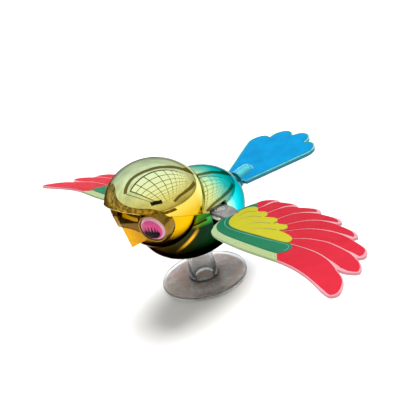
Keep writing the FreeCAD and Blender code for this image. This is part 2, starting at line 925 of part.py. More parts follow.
def check(piece):
    problems = [state for state in piece.State if state in ("Invalid", "Error")]
    if problems or piece.Shape.isNull() or not piece.Shape.isValid():
        raise RuntimeError(f"{piece.Label} is not sound: {piece.State}")


def main():
    make_disc()
    make_pad_and_liner()
    make_post()
    make_cap()
    make_rod()
    make_rack()
    make_rack_nut()
    make_upper_shell()
    make_lower_shell()
    make_bush()
    make_frame()
    make_pins()
    make_screws()
    make_spring()
    make_beak()
    for label, side in SIDES.items():
        make_wing(label, side)
        make_lever(label, side)
        make_peg(label, side)
        make_eye(label, side)
    make_tail()
    make_tail_peg()
    make_tail_collar()
    document.recompute()
    for piece in document.Objects:
        if any(state in ("Invalid", "Error") for state in piece.State):
            raise RuntimeError(f"{piece.Label} failed: {piece.State}")
    os.makedirs("parts", exist_ok=True)
    for piece in finished:
        check(piece)
    for piece in finished:
        piece.Shape.exportStep(f"parts/{piece.Label}.step")


main()
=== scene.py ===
"""Looks of a plated toy bird on a clear stand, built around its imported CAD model.

The frame's origin is the centre of the stand's underside: +Z is up, the bird faces -Y
and its left wing is on the +X side. Shapes are laid out in millimetres and made in metres.
"""

import math

import bmesh
import bpy
from mathutils import Matrix, Vector
from mathutils.geometry import delaunay_2d_cdt


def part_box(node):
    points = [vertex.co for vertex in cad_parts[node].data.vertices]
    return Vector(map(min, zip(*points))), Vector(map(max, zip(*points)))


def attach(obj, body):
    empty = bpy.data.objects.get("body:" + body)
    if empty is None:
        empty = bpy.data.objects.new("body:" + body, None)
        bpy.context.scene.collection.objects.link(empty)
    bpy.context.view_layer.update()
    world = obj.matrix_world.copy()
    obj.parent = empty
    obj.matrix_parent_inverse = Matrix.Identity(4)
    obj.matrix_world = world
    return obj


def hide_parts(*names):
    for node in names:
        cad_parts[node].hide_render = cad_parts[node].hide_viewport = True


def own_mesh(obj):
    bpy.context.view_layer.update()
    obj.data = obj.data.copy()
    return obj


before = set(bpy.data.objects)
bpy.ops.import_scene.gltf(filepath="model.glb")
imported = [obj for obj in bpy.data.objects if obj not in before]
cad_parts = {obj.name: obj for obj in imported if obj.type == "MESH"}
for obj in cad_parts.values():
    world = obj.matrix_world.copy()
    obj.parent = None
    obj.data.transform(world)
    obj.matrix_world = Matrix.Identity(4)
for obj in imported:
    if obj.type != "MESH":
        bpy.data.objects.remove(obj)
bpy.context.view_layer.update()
MM = 0.001
TINY = 1e-6
SIDES = {"left": 1, "right": -1}


def box_mm(node):
    """Lowest and highest corner of a CAD node, in millimetres."""
    low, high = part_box(node)
    return low / MM, high / MM


# ---------------- places from the frame

POST_LOW, POST_HIGH = box_mm("stand_post")
DISC_LOW, DISC_HIGH = box_mm("base_disc")
PAD_LOW, PAD_HIGH = box_mm("adhesive_pad")
LINER_HIGH = box_mm("pad_liner")[1]
LEVER_END = box_mm("wing_lever_left")[1].x
RIVET_LOW, RIVET_HIGH = box_mm("wing_rivet_left")

# ---------------- forms of the CAD part

NOSE_UP = math.radians(18)
HEAD_CENTRE = Vector((0, -16.2, 52))
HEAD_RADII = Vector((23.5, 25, 21.7))
FACE_RADII = Vector((23.5, 18.3, 21.7))
BODY_CENTRE = Vector((0, 2.4, 38))
BODY_RADII = Vector((22.7, 30, 22.3))
WALL = 1.5
LOWER_INSET = 0.2
PARTING_POINT = Vector((0, -18, 51))
PARTING_SLOPE = math.radians(23)
EYE_CENTRE = Vector((16.5, -31.1, 49.6))
EYE_TURN = math.radians(26)
EYE_DIP = math.radians(6)
EYE_RADIUS = 6.1
EYE_BULGE = 1.2
EYE_EDGE = -0.2
SOCKET_RADIUS = 8.6
SOCKET_DEEP = 7.5
SOCKET_PROUD = 0.5
SOCKET_DISH = -0.8
TAIL_ROOT = Vector((0, 34.2, 40.8))
TAIL_RISE = math.radians(7)


# ---------------- node materials

def linear(red, green, blue):
    """Screen colour from 0 to 255 as a linear colour with alpha."""
    def channel(value):
        share = value / 255
        return share / 12.92 if share <= 0.04045 else ((share + 0.055) / 1.055) ** 2.4
    return (channel(red), channel(green), channel(blue), 1.0)


class Shader:
    """One procedural material: a Principled surface with positions in millimetres.

    A colour of three parts is a screen colour, and one of four parts is linear.
    """

    def __init__(self, name, **settings):
        self.name = name
        self.material = bpy.data.materials.new(name)
        self.material.use_nodes = True
        self.tree = self.material.node_tree
        self.tree.nodes.clear()
        self.surface = self.add("ShaderNodeBsdfPrincipled")
        output = self.add("ShaderNodeOutputMaterial")
        self.feed(output.inputs["Surface"], self.surface.outputs[0])
        for socket, value in settings.items():
            self.set(socket.replace("_", " "), value)
        place = self.add("ShaderNodeTexCoord").outputs["Object"]
        self.place = self.scaled(place, (1 / MM,) * 3)
        split = self.add("ShaderNodeSeparateXYZ")
        self.feed(split.inputs[0], self.place)
        self.x, self.y, self.z = split.outputs

    def add(self, kind, **properties):
        node = self.tree.nodes.new(kind)
        for name, value in properties.items():
            setattr(node, name, value)
        return node

    def feed(self, socket, value):
        """Links a socket to another node's output, or sets it to a number or colour."""
        if isinstance(value, bpy.types.NodeSocket):
            self.tree.links.new(value, socket)
        elif isinstance(value, tuple) and len(value) == 3:
            socket.default_value = linear(*value)
        else:
            socket.default_value = value

    def set(self, socket, value):
        self.feed(self.surface.inputs[socket], value)

    def scaled(self, vector, factors):
        node = self.add("ShaderNodeVectorMath", operation="MULTIPLY")
        node.inputs[1].default_value = factors
        self.feed(node.inputs[0], vector)
        return node.outputs[0]

    def noise(self, size, detail=3.0, stretch=(1, 1, 1)):
        """Soft noise from 0 to 1 whose lumps are about this many millimetres across."""
        node = self.add("ShaderNodeTexNoise")
        node.inputs["Scale"].default_value = 1.0
        node.inputs["Detail"].default_value = detail
        self.feed(node.inputs["Vector"], self.scaled(self.place, [part / size for part in stretch]))
        return node.outputs[0]

    def math(self, operation, first, second=0.0):
        node = self.add("ShaderNodeMath", operation=operation)
        self.feed(node.inputs[0], first)
        self.feed(node.inputs[1], second)
        return node.outputs[0]

    def plus(self, first, second):
        return self.math("ADD", first, second)

    def times(self, first, second):
        return self.math("MULTIPLY", first, second)

    def off(self, value, middle):
        """How far a value is from a middle value, either way."""
        return self.math("ABSOLUTE", self.math("SUBTRACT", value, middle))

    def spread(self, value, low, high, to_low=0.0, to_high=1.0):
        """Moves a value from one range to another, without going past its ends."""
        node = self.add("ShaderNodeMapRange")
        self.feed(node.inputs["Value"], value)
        ends = {"From Min": low, "From Max": high, "To Min": to_low, "To Max": to_high}
        for name, number in ends.items():
            node.inputs[name].default_value = number
        return node.outputs[0]

    def patches(self, size, detail, low=0.3, high=0.7, to_low=0.0, to_high=1.0, stretch=(1, 1, 1)):
        """Noise whose middle heights are spread over a range, which leaves patches."""
        return self.spread(self.noise(size, detail, stretch), low, high, to_low, to_high)

    def ramp(self, value, colours):
        """Colours at places along a value, as {place: colour} from the lowest place up."""
        places = list(colours)
        low = places[0]
        high = places[-1]
        node = self.add("ShaderNodeValToRGB")
        self.feed(node.inputs[0], self.spread(value, low, high))
        elements = node.color_ramp.elements
        while len(elements) < len(places):
            elements.new(1.0)
        for element, place in zip(elements, places):
            element.position = (place - low) / (high - low)
            element.color = linear(*colours[place])
        return node.outputs[0]

    def mix(self, share, first, second):
        node = self.add("ShaderNodeMix", data_type="RGBA")
        for index, value in ((0, share), (6, first), (7, second)):
            self.feed(node.inputs[index], value)
        return node.outputs[2]

    def roughness(self, low, high, size=6.0):
        """Roughness that wanders between two values, with fine scuffs in it."""
        both = self.times(self.noise(size), self.noise(size / 12, stretch=(1, 0.25, 1)))
        self.set("Roughness", self.spread(both, 0.15, 0.4, low, high))

    def bump(self, height, depth):
        """Surface relief of this depth in millimetres, from heights between 0 and 1."""
        node = self.add("ShaderNodeBump")
        node.inputs["Strength"].default_value = 1.0
        node.inputs["Distance"].default_value = depth * MM
        self.feed(node.inputs["Height"], height)
        self.set("Normal", node.outputs[0])

    def finish(self, colour, rough, relief, depth):
        """Sets the colour, the wandering roughness and a relief of noise."""
        self.set("Base Color", colour)
        self.roughness(*rough)
        self.bump(self.noise(*relief), depth)
        return self

    def glow(self, colour, strength):
        """Makes the surface black but glowing."""
        self.set("Base Color", (0, 0, 0, 1))
        self.set("Specular IOR Level", 0.0)
        self.set("Emission Color", colour)
        self.set("Emission Strength", strength)


def mottled(name, base, other, rough, depth, size=5.0, **settings):
    """Moulded or machined material of two near colours, with scuffs and fine relief."""
    shader = Shader(name, **settings)
    colour = shader.mix(shader.patches(size, 4.0), base, other)
    return shader.finish(colour, (*rough, size), (size / 10, 2.0), depth)


def plating_relief(shader):
    """Slow waves of thin moulded walls under the bright plating, and fine scratches."""
    scratches = shader.times(shader.noise(0.6, 3.0, stretch=(1, 0.12, 1)), 0.012)
    shader.bump(shader.plus(shader.noise(11.0, 1.0), scratches), 0.05)


def plated_back():
    """Sprayed-on colours over chrome: gold head, yellow neck, then green to cyan. The colours are painted
    darker low on the sides as shade and paler on the crown as a reflection of the bright ceiling.
    """
    shader = Shader("plated_back", Metallic=1.0, Specular_Tint=(0.4, 0.42, 0.4, 1))
    along = shader.plus(shader.y, shader.patches(9.0, 2.0, 0.2, 0.8, -2.0, 2.0))
    upper = shader.ramp(along, {
        -45: (240, 230, 128), -14: (242, 234, 130), -1: (250, 248, 160), 5: (214, 255, 224),
        10: (104, 255, 250), 16: (40, 246, 255), 28: (14, 230, 250), 33: (8, 160, 186),
        38: (4, 84, 104),
    })
    # Painted shade: darker copies of the same colours, for low on the sides.
    lower = shader.ramp(along, {
        -45: (196, 146, 34), -30: (216, 168, 30), -8: (200, 164, 34), 1: (236, 238, 160),
        7: (186, 232, 190), 14: (36, 206, 212), 25: (14, 180, 194), 29: (6, 96, 112),
        38: (4, 70, 90),
    })
    # Painted reflection: a pale crown on the head where the plating mirrors the bright ceiling; below it
    # the darker copies take over.
    pale_crown_reflection = shader.mix(shader.spread(shader.z, 58, 72), upper, (226, 240, 204))
    top = shader.mix(shader.spread(shader.y, -6, 2), pale_crown_reflection, upper)
    shader.set("Base Color", shader.mix(shader.spread(shader.z, 51, 66), lower, top))
    scuffs = shader.times(shader.noise(14.0), 0.02)
    shader.set("Roughness", shader.plus(shader.spread(along, -4, 4, 0.03, 0.09), scuffs))
    plating_relief(shader)
    return shader


def plated_belly():
    """Chrome sprayed gold at the face and green along the belly, over painted light: bright cheeks and
    flanks as painted reflection, a gold crescent at the neck as painted highlight, and a dark chin and
    underside as painted shade over the belly's own dark green.
    """
    shader = Shader("plated_belly", Metallic=1.0, Specular_Tint=(0.26, 0.24, 0.16, 1))
    drift = shader.patches(8.0, 2.0, 0.2, 0.8, -0.8, 0.8)
    along = shader.plus(shader.y, drift)
    level = shader.plus(shader.z, drift)
    # Painted shade: dark copies of the colours for the chin and underside.
    dark = shader.ramp(along, {
        -42: (96, 70, 18), -24: (58, 46, 16), -12: (22, 40, 22), -4: (14, 46, 28), 32: (8, 44, 36),
    })
    # Painted reflection: bright copies of the colours for the cheeks and flanks.
    bright = shader.ramp(along, {
        -42: (132, 98, 30), -30: (156, 114, 28), -24: (214, 160, 18), -13: (224, 176, 12),
        -9: (96, 156, 36), -2: (34, 140, 66), 14: (30, 140, 96), 32: (16, 120, 120),
    })
    # The neck line climbs to the back: heights measured from it tell cheek, chin and belly.
    slant = shader.math("SUBTRACT", level, shader.times(along, 0.89))
    # The cheek and flank masks place the bright painted reflection.
    cheek_reflection = shader.times(shader.spread(slant, 56.5, 59.5), shader.spread(level, 40, 42.5))
    flank_reflection = shader.times(shader.spread(along, -13, -10), shader.spread(level, 39.5, 42))
    # Painted highlight: a thin gold crescent along the neck crease.
    crescent_highlight = shader.spread(shader.off(slant, 48.4), 0.5, 1.5, 0.9, 0.0)
    crescent_highlight = shader.times(crescent_highlight, shader.spread(along, -20.5, -17))
    crescent_highlight = shader.times(crescent_highlight, shader.spread(along, -13.5, -10, 1.0, 0.0))
    colour = shader.mix(shader.math("MAXIMUM", cheek_reflection, flank_reflection), dark, bright)
    shader.set("Base Color", shader.mix(crescent_highlight, colour, (226, 168, 40)))
    shader.roughness(0.03, 0.09, 14.0)
    plating_relief(shader)
    return shader


def plated_gold(name, base, other):
    shader = Shader(name, Metallic=1.0)
    colour = shader.mix(shader.patches(5.0, 3.0), base, other)
    return shader.finish(colour, (0.08, 0.2, 6.0), (2.5, 2.0), 0.02)


def beak_paint():
    """Golden wedge whose upper corners take the darker plating of the face around them, and whose gold is
    painted darker towards its left side as shade.
    """
    shader = Shader("beak_gold", Metallic=0.5, Specular_IOR_Level=0.1)
    lit = shader.mix(shader.patches(5.0, 4.0), (222, 164, 4), (204, 144, 3))
    # Painted shade: the lit gold darkens towards the beak's left side.
    gold = shader.mix(shader.spread(shader.x, 2, 10, 0.0, 0.7), lit, (150, 104, 8))
    across = shader.spread(shader.off(shader.x, 0.0), 0, 10)
    level = shader.plus(shader.z, shader.times(shader.times(across, across), 3.6))
    both = shader.mix(shader.spread(level, 49.4, 49.7), gold, (112, 82, 24))
    seam = shader.spread(shader.off(level, 49.5), 0.15, 0.45, 0.85, 0.0)
    colour = shader.mix(seam, both, (38, 24, 8))
    return shader.finish(colour, (0.2, 0.32, 5.0), (0.5, 2.0), 0.03)


def wing_print(name, dark, light, span):
    """Glossy printed colour that lightens along the wing, with a faint feather grain."""
    shader = Shader(name, Specular_IOR_Level=0.05, Coat_Weight=0.02, Coat_Roughness=0.08)
    out = shader.off(shader.x, 0.0)
    drift = shader.patches(7.0, 3.0, 0.25, 0.75, -14.0, 14.0)
    colour = shader.mix(shader.spread(shader.plus(out, drift), *span), dark, light)
    return shader.finish(colour, (0.28, 0.45, 5.0), (0.9, 3.0, (0.15, 1, 1)), 0.03)


def wing_plate():
    """Clear plastic of the wing: greenish near the body and pink behind the red print."""
    shader = Shader("wing_plate", Specular_IOR_Level=0.3)
    out = shader.off(shader.x, 0.0)
    drift = shader.patches(5.0, 2.0, 0.2, 0.8, -2.5, 2.5)
    green = shader.mix(shader.spread(out, 30, 70), (144, 166, 126), (146, 164, 112))
    pink = shader.mix(shader.spread(out, 60, 110), (200, 132, 142), (208, 136, 146))
    behind = shader.spread(shader.y, 15, 18)
    printed = shader.math("MAXIMUM", shader.spread(shader.plus(out, drift), 75, 79), behind)
    colour = shader.mix(printed, green, pink)
    return shader.finish(colour, (0.25, 0.45, 6.0), (5.0, 2.0), 0.015)


def clear_plastic(name, tint, rough, clear):
    shader = Shader(name, IOR=1.38, Transmission_Weight=clear)
    faint = tuple(0.94 * part for part in tint)
    colour = shader.mix(shader.patches(6.0, 3.0), tint, faint)
    return shader.finish(colour, (*rough, 7.0), (4.0, 2.0), 0.03)


def foam_tape():
    """Tan adhesive layer with pale speckles and air patches under the disc."""
    shader = Shader("foam_tape", IOR=1.45)
    tan = shader.mix(shader.patches(7.0, 4.0, 0.35, 0.65), (244, 206, 190), (228, 186, 170))
    pale = shader.times(shader.patches(4.5, 5.0, 0.49, 0.54), shader.patches(1.0, 3.0, 0.45, 0.52))
    colour = shader.mix(pale, tan, (238, 242, 248))
    return shader.finish(colour, (0.5, 0.8, 4.0), (0.8, 4.0), 0.08)


def tail_print():
    """Blue print of the tail, lighter along a few faint lines."""
    shader = Shader("tail_print", Specular_IOR_Level=0.02)
    blue = shader.mix(shader.patches(7.0, 3.0), (0, 120, 172), (0, 136, 192))
    streak = shader.patches(2.2, 2.0, 0.6, 0.72, stretch=(1, 0.1, 1))
    colour = shader.mix(shader.times(streak, 0.25), blue, (10, 154, 208))
    return shader.finish(colour, (0.25, 0.42, 5.0), (1.2, 3.0, (1, 0.15, 1)), 0.03)


PAINT = {shader.name: shader.material for shader in (
    plated_back(),
    plated_belly(),
    plated_gold("socket_gold", (150, 116, 44), (118, 92, 30)),
    beak_paint(),
    wing_plate(),
    wing_print("wing_red", (172, 18, 40), (190, 28, 50), (60, 110)),
    wing_print("wing_yellow", (162, 157, 22), (172, 165, 28), (28, 70)),
    wing_print("wing_green", (8, 94, 66), (20, 104, 72), (26, 76)),
    mottled("wing_line", (84, 146, 130), (70, 134, 118), (0.3, 0.45), 0.02),
    # Painted shade: dull olive for the beads that stand in for the shaded grooves between the coverts.
    mottled("groove_shade_paint", (128, 126, 76), (116, 114, 66), (0.4, 0.6), 0.03),
    mottled("wing_ridge", (214, 164, 168), (206, 142, 150), (0.25, 0.4), 0.02),
    mottled("eye_white", (214, 166, 180), (206, 148, 166), (0.2, 0.3), 0.02, Coat_Weight=0.15),
    mottled("eye_pink", (206, 14, 104), (198, 34, 120), (0.2, 0.32), 0.02, 2.0, Coat_Weight=0.1),
    mottled("eye_black", (4, 3, 3), (12, 8, 8), (0.4, 0.6), 0.02, 2.0, Specular_IOR_Level=0.05),
    clear_plastic("tail_plate", (20, 128, 132), (0.06, 0.18), 0.35),
    # Painted highlight: pale cyan for the bead that stands in for the bright line along the tail's clear
    # edge.
    mottled("tail_edge_highlight", (86, 206, 200), (60, 186, 190), (0.1, 0.2), 0.02, Coat_Weight=0.5),
    clear_plastic("tail_barrel", (70, 196, 206), (0.04, 0.12), 0.45),
    tail_print(),
    plated_gold("tail_collar", (10, 86, 110), (14, 112, 128)),
    clear_plastic("clear_plastic", (244, 246, 247), (0.03, 0.12), 0.94),
    clear_plastic("post_plastic", (242, 245, 245), (0.04, 0.12), 0.94),
    mottled("tab_plastic", (132, 130, 132), (108, 106, 108), (0.15, 0.3), 0.01, 3.0,
            Transmission_Weight=0.2, Coat_Weight=0.4),
    foam_tape(),
    mottled("release_paper", (226, 222, 214), (214, 208, 198), (0.6, 0.8), 0.02),
    mottled("white_nylon", (232, 230, 222), (220, 217, 208), (0.35, 0.55), 0.03),
    mottled("dark_plastic", (40, 36, 30), (54, 48, 40), (0.35, 0.55), 0.04),
    mottled("bright_steel", (196, 198, 202), (168, 170, 176), (0.15, 0.35), 0.02, 2.0, Metallic=1.0),
    mottled("rivet_plastic", (178, 172, 170), (150, 146, 146), (0.1, 0.25), 0.02, Coat_Weight=0.6),
)}


# ---------------- shape helpers

THIN_PRINTS = ("wing_plastic", "tail_plastic")


def in_scene(name, data):
    thing = bpy.data.objects.new(name, data)
    bpy.context.scene.collection.objects.link(thing)
    return thing


def soften(thing, width, segments, angle):
    """Rounds the sharp edges of a piece and shades it smooth."""
    for polygon in thing.data.polygons:
        polygon.use_smooth = True
    bevel = thing.modifiers.new("soft_edges", "BEVEL")
    bevel.width = width * MM
    bevel.segments = segments
    bevel.limit_method = "ANGLE"
    bevel.angle_limit = math.radians(angle)
    bevel.harden_normals = True


def piece(name, mesh, body, slot, paint, replaces=(), soft=0.0, segments=3, angle=40):
    """Named piece that rides on a body, with its edges rounded by this much.

    The thin printed wings and tail cast no shadow and show in no reflection.
    """
    mesh.name = name
    thing = in_scene(name, mesh)
    mesh.materials.clear()
    mesh.materials.append(PAINT[paint])
    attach(thing, body)
    if replaces:
        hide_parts(*replaces)
    thing.visible_shadow = slot not in THIN_PRINTS
    thing.visible_glossy = slot not in THIN_PRINTS
    if soft:
        soften(thing, soft, segments, angle)
    return thing


def to_mesh(form, place=None):
    """Turns a bmesh in millimetres into a mesh in metres, after moving it into place."""
    if place is not None:
        form.transform(place)
    bmesh.ops.recalc_face_normals(form, faces=form.faces)
    mesh = bpy.data.meshes.new("form")
    form.to_mesh(mesh)
    form.free()
    mesh.transform(Matrix.Scale(MM, 4))
    return mesh


def ellipse(radii, steps, middle=(0.0, 0.0)):
    """Points round an ellipse, at evenly spaced angles."""
    angles = [2 * math.pi * step / steps for step in range(steps)]
    return [(middle[0] + radii[0] * math.cos(a), middle[1] + radii[1] * math.sin(a)) for a in angles]


def circle(radius, steps):
    return ellipse((radius, radius), steps)


def lathe(profile, steps=128, place=None):
    """Solid of revolution about Z from (radius, height) points; ends on the axis are closed."""
    form = bmesh.new()
    rings = []
    for radius, height in profile:
        around = circle(radius, steps) if radius > TINY else [(0, 0)]
        rings.append([form.verts.new((x, y, height)) for x, y in around])
    for index, ring in enumerate(rings):
        if index + 1 == len(rings) and (len(ring) == 1 or len(rings[0]) == 1):
            break
        upper = rings[(index + 1) % len(rings)]
        for step in range(steps):
            after = (step + 1) % steps
            around = [ring[step % len(ring)], ring[after % len(ring)],
                      upper[after % len(upper)], upper[step % len(upper)]]
            corners = list(dict.fromkeys(around))
            if len(corners) > 2:
                form.faces.new(corners)
    return to_mesh(form, place)


def between(before, start, end, after, t):
    """Catmull-Rom value at share t of the way from start to end."""
    return 0.5 * (2 * start + (end - before) * t
                  + (2 * before - 5 * start + 4 * end - after) * t ** 2
                  + (3 * start - before - 3 * end + after) * t ** 3)


def smooth_curve(points, steps=8):
    """Smooth line through points, with this many short steps between neighbours."""
    last = len(points) - 1
    made = []
    for index in range(last):
        near = [points[min(max(index + move, 0), last)] for move in (-1, 0, 1, 2)]
        for step in range(steps):
            made.append(tuple(between(*parts, step / steps) for parts in zip(*near)))
    return made + [tuple(points[-1])]


def rounded(loop, passes=3, share=0.25):
    """Rounds the corners of a closed outline by cutting them off again and again."""
    for _ in range(passes):
        cut = []
        for start, end in zip(loop, loop[1:] + loop[:1]):
            cut.append(tuple(a + (b - a) * share for a, b in zip(start, end)))
            cut.append(tuple(a + (b - a) * (1 - share) for a, b in zip(start, end)))
        loop = cut
    return loop


def signed_area(loop):
    return sum(a[0] * b[1] - b[0] * a[1] for a, b in zip(loop, loop[1:] + loop[:1])) / 2


def inset(loop, depths):
    """Moves each point of a closed outline inwards by its own depth and drops crossings."""
    turn = 1 if signed_area(loop) > 0 else -1
    slack = 0.93
    kept = []
    for index, point in enumerate(loop):
        ahead = loop[(index + 1) % len(loop)]
        along = Vector([a - b for a, b in zip(ahead, loop[index - 1])])
        if along.length < TINY:
            continue
        along.normalize()
        moved = Vector(point) + Vector((-along.y, along.x)) * turn * depths[index]
        clear = all(
            (moved - Vector(other)).length > slack * min(depth, depths[index])
            for other, depth in zip(loop, depths)
        )
        if clear:
            kept.append(tuple(moved))
    return kept


def contains(loop, x, y):
    inside = False
    for (ax, ay), (bx, by) in zip(loop, loop[1:] + loop[:1]):
        if (ay > y) != (by > y) and x < ax + (y - ay) / (by - ay) * (bx - ax):
            inside = not inside
    return inside


def filling(loop, spacing):
    """Evenly spread points inside an outline and clear of its edge."""
    xs, ys = zip(*loop)
    rows = int((max(ys) - min(ys)) / spacing) + 2
    columns = int((max(xs) - min(xs)) / spacing) + 2
    clearance = 0.6 * spacing
    found = []
    for row in range(rows):
        for column in range(columns):
            x = min(xs) + (column + 0.5 * (row % 2)) * spacing
            y = min(ys) + row * spacing
            near = min((p[0] - x) ** 2 + (p[1] - y) ** 2 for p in loop)
            if near > clearance ** 2 and contains(loop, x, y):
                found.append((x, y))
    return found


def sheet(loop, height, low, high, side=1, spacing=2.5, place=None):
    """Closed plate with this outline, between two offsets from a curved surface."""
    points = [Vector(p) for p in loop + filling(loop, spacing)]
    same_place = 1e-5
    flat = delaunay_2d_cdt(points, [], [list(range(len(loop)))], 1, same_place)
    corners, faces = flat[0], flat[2]
    form = bmesh.new()
    lower, upper = (
        [form.verts.new((side * p.x, p.y, height(p.x, p.y) + offset)) for p in corners]
        for offset in (low, high)
    )
    edges = []
    for face in faces:
        edges += zip(face, face[1:] + face[:1])
        form.faces.new([upper[i] for i in face])
        form.faces.new([lower[i] for i in reversed(face)])
    directed = set(edges)
    for start, end in edges:
        if (end, start) not in directed:
            form.faces.new([lower[start], lower[end], upper[end], upper[start]])
    loose = [v for v in form.verts if not v.link_faces]
    bmesh.ops.delete(form, geom=loose, context="VERTS")
    return to_mesh(form, place)


def tube(path, radius, closed=False, taper=1.0, sides=8):
    """Thin bead along a line of points, with blunt ends. A taper makes its start thinner."""
    form = bmesh.new()
    count = len(path)
    blunt = 0.25
    rings = []
    for index, point in enumerate(path):
        if closed:
            ahead, behind = path[(index + 1) % count], path[index - 1]
        else:
            ahead, behind = path[min(index + 1, count - 1)], path[max(index - 1, 0)]
        along = (Vector(ahead) - Vector(behind)).normalized()
        across = along.cross(Vector((0, 0, 1))).normalized()
        lift = across.cross(along)
        at_end = not closed and index in (0, count - 1)
        thick = radius * (blunt if at_end else taper + (1 - taper) * index / count)
        rings.append([
            form.verts.new(Vector(point) + across * x + lift * y) for x, y in circle(thick, sides)
        ])
    for ring, following in zip(rings, rings[1:] + rings[:1] if closed else rings[1:]):
        for step in range(sides):
            after = (step + 1) % sides
            form.faces.new([ring[step], ring[after], following[after], following[step]])
    if not closed:
        form.faces.new(rings[0][::-1])
        form.faces.new(rings[-1])
    mesh = to_mesh(form)
    for polygon in mesh.polygons:
        polygon.use_smooth = True
    return mesh


# ---------------- shells

HEAD_TURN = Matrix.Rotation(-NOSE_UP, 3, "X")
LEVEL = Matrix.Identity(3)


def forms_of(shell):
    """The ellipsoids a shell's faces lie on, outer then inner, as (centre, radii, turn)."""
    upper = shell == "upper_shell"
    front = HEAD_RADII if upper else FACE_RADII
    less = 0.0 if upper else LOWER_INSET
    forms = []
    for depth in (less, less + WALL):
        inwards = Vector((depth,) * 3)
        forms.append((HEAD_CENTRE, front - inwards, HEAD_TURN))
        forms.append((BODY_CENTRE, BODY_RADII - inwards, LEVEL))
    return forms


def in_form(form, vector):
    """A direction or place in an ellipsoid's own frame, where its radii are all 1."""
    _, radii, turn = form
    return Vector(part / radius for part, radius in zip(turn.transposed() @ vector, radii))


def away_from(form, point):
    """How far a point is off an ellipsoid, in millimetres, and the ellipsoid's slope there."""
    centre, radii, turn = form
    scaled = in_form(form, point - centre)
    gradient = Vector(part / radius for part, radius in zip(scaled, radii))
    off = abs(scaled.length - 1) * scaled.length / max(gradient.length, TINY)
    return off, turn @ gradient.normalized()


def make_shell(shell, paint):
    """The CAD shell's form with exact normals, so that its plating mirrors smoothly."""
    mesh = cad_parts[shell].data.copy()
    forms = forms_of(shell)
    close = 0.05
    normals = [None] * len(mesh.loops)
    for polygon in mesh.polygons:
        polygon.use_smooth = True
        corners = [mesh.vertices[i].co / MM for i in polygon.vertices]
        fits = [max(away_from(form, corner)[0] for corner in corners) for form in forms]
        best = forms[fits.index(min(fits))]
        for loop, corner in zip(polygon.loop_indices, corners):
            slope = away_from(best, corner)[1] if min(fits) < close else polygon.normal
            normals[loop] = slope if slope.dot(polygon.normal) > 0 else -slope
    mesh.normals_split_custom_set([tuple(n) for n in normals])
    piece(shell + "_plated", mesh, "bird", paint, paint, [shell])


def ray_exit(form, start, direction):
    """Distance from a point inside an ellipsoid to its surface."""
    point = in_form(form, start - form[0])
    step = in_form(form, direction)
    stretch = step.dot(step)
    along = point.dot(step)
    inside = along * along - stretch * (point.dot(point) - 1)
    return (-along + math.sqrt(inside)) / stretch if inside > 0 else 0.0


def eye_matrix(side):
    """Local frame of an eye: Z points out of it and Y up its face."""
    out = Vector((side * math.sin(EYE_TURN) * math.cos(EYE_DIP),
                  -math.cos(EYE_TURN) * math.cos(EYE_DIP),
                  -math.sin(EYE_DIP)))
    across = Vector((0, 0, 1)).cross(out).normalized()
    turn = Matrix((across, out.cross(across), out)).transposed().to_4x4()
    return Matrix.Translation(Vector((side * EYE_CENTRE.x, EYE_CENTRE.y, EYE_CENTRE.z))) @ turn


def hidden_at_seat(point):
    """True where the parting line runs into an eye socket or a wing slot."""
    slot_inside = 15
    slot_front = -2.6
    slot_back = 8.9
    for side in SIDES.values():
        local = eye_matrix(side).inverted() @ point
        if math.hypot(local.x, local.y) < SOCKET_RADIUS and local.z > -SOCKET_DEEP:
            return True
    return abs(point.x) > slot_inside and slot_front < point.y < slot_back


def make_parting_bead():
    """Thin bright lip where the two shells meet, broken at the sockets and wing slots."""
    steps = 360
    radius = 0.2
    sunk = 0.06
    shortest = 3
    outer = forms_of("upper_shell")[:2]
    slope = Matrix.Rotation(-PARTING_SLOPE, 3, "X")
    middle = PARTING_POINT + slope @ Vector((0, 12, 0))
    runs = []
    run = []
    for x, y in circle(1, steps):
        direction = slope @ Vector((x, y, 0))
        reach = max(ray_exit(form, middle, direction) for form in outer)
        point = middle + direction * (reach - sunk)
        if not hidden_at_seat(point):
            run.append(point)
            continue
        if len(run) > shortest:
            runs.append(run)
        run = []
    if runs and run:
        runs[0] = run + runs[0]
    for number, path in enumerate(runs, start=1):
        piece(f"parting_lip_{number}", tube(path, radius), "bird", "plated_back", "plated_back")


def build_shells():
    make_shell("upper_shell", "plated_back")
    make_shell("lower_shell", "plated_belly")
    make_parting_bead()


# ---------------- face

def eye_front(x, y):
    """Front of the eye disc, which is part of a sphere."""
    ball = (EYE_RADIUS ** 2 + EYE_BULGE ** 2) / (2 * EYE_BULGE)
    return EYE_EDGE + EYE_BULGE - ball + math.sqrt(max(ball ** 2 - x ** 2 - y ** 2, 0.0))


def lashed_pupil(side):
    """Wide dark pupil low in the eye, whose upper edge runs out into short lashes."""
    centre = Vector((-0.9 * side, -1.9))
    wide = 4.1
    deep = 3.2
    shallow = 0.5
    lash = 3.1
    tuck = 0.5
    lashes = 7
    steps = 12
    below = 24
    loop = []
    for step in range(lashes * steps):
        angle = math.pi * step / (lashes * steps)
        spike = abs(2 * ((step / steps) % 1) - 1) ** 1.4
        rise = (shallow + lash * spike) * math.sin(angle) ** 0.4
        reach = wide - tuck + tuck * spike
        loop.append((centre.x + reach * math.cos(angle), centre.y + rise))
    for step in range(1, below):
        angle = math.pi + math.pi * step / below
        loop.append((centre.x + wide * math.cos(angle), centre.y + deep * math.sin(angle)))
    return loop


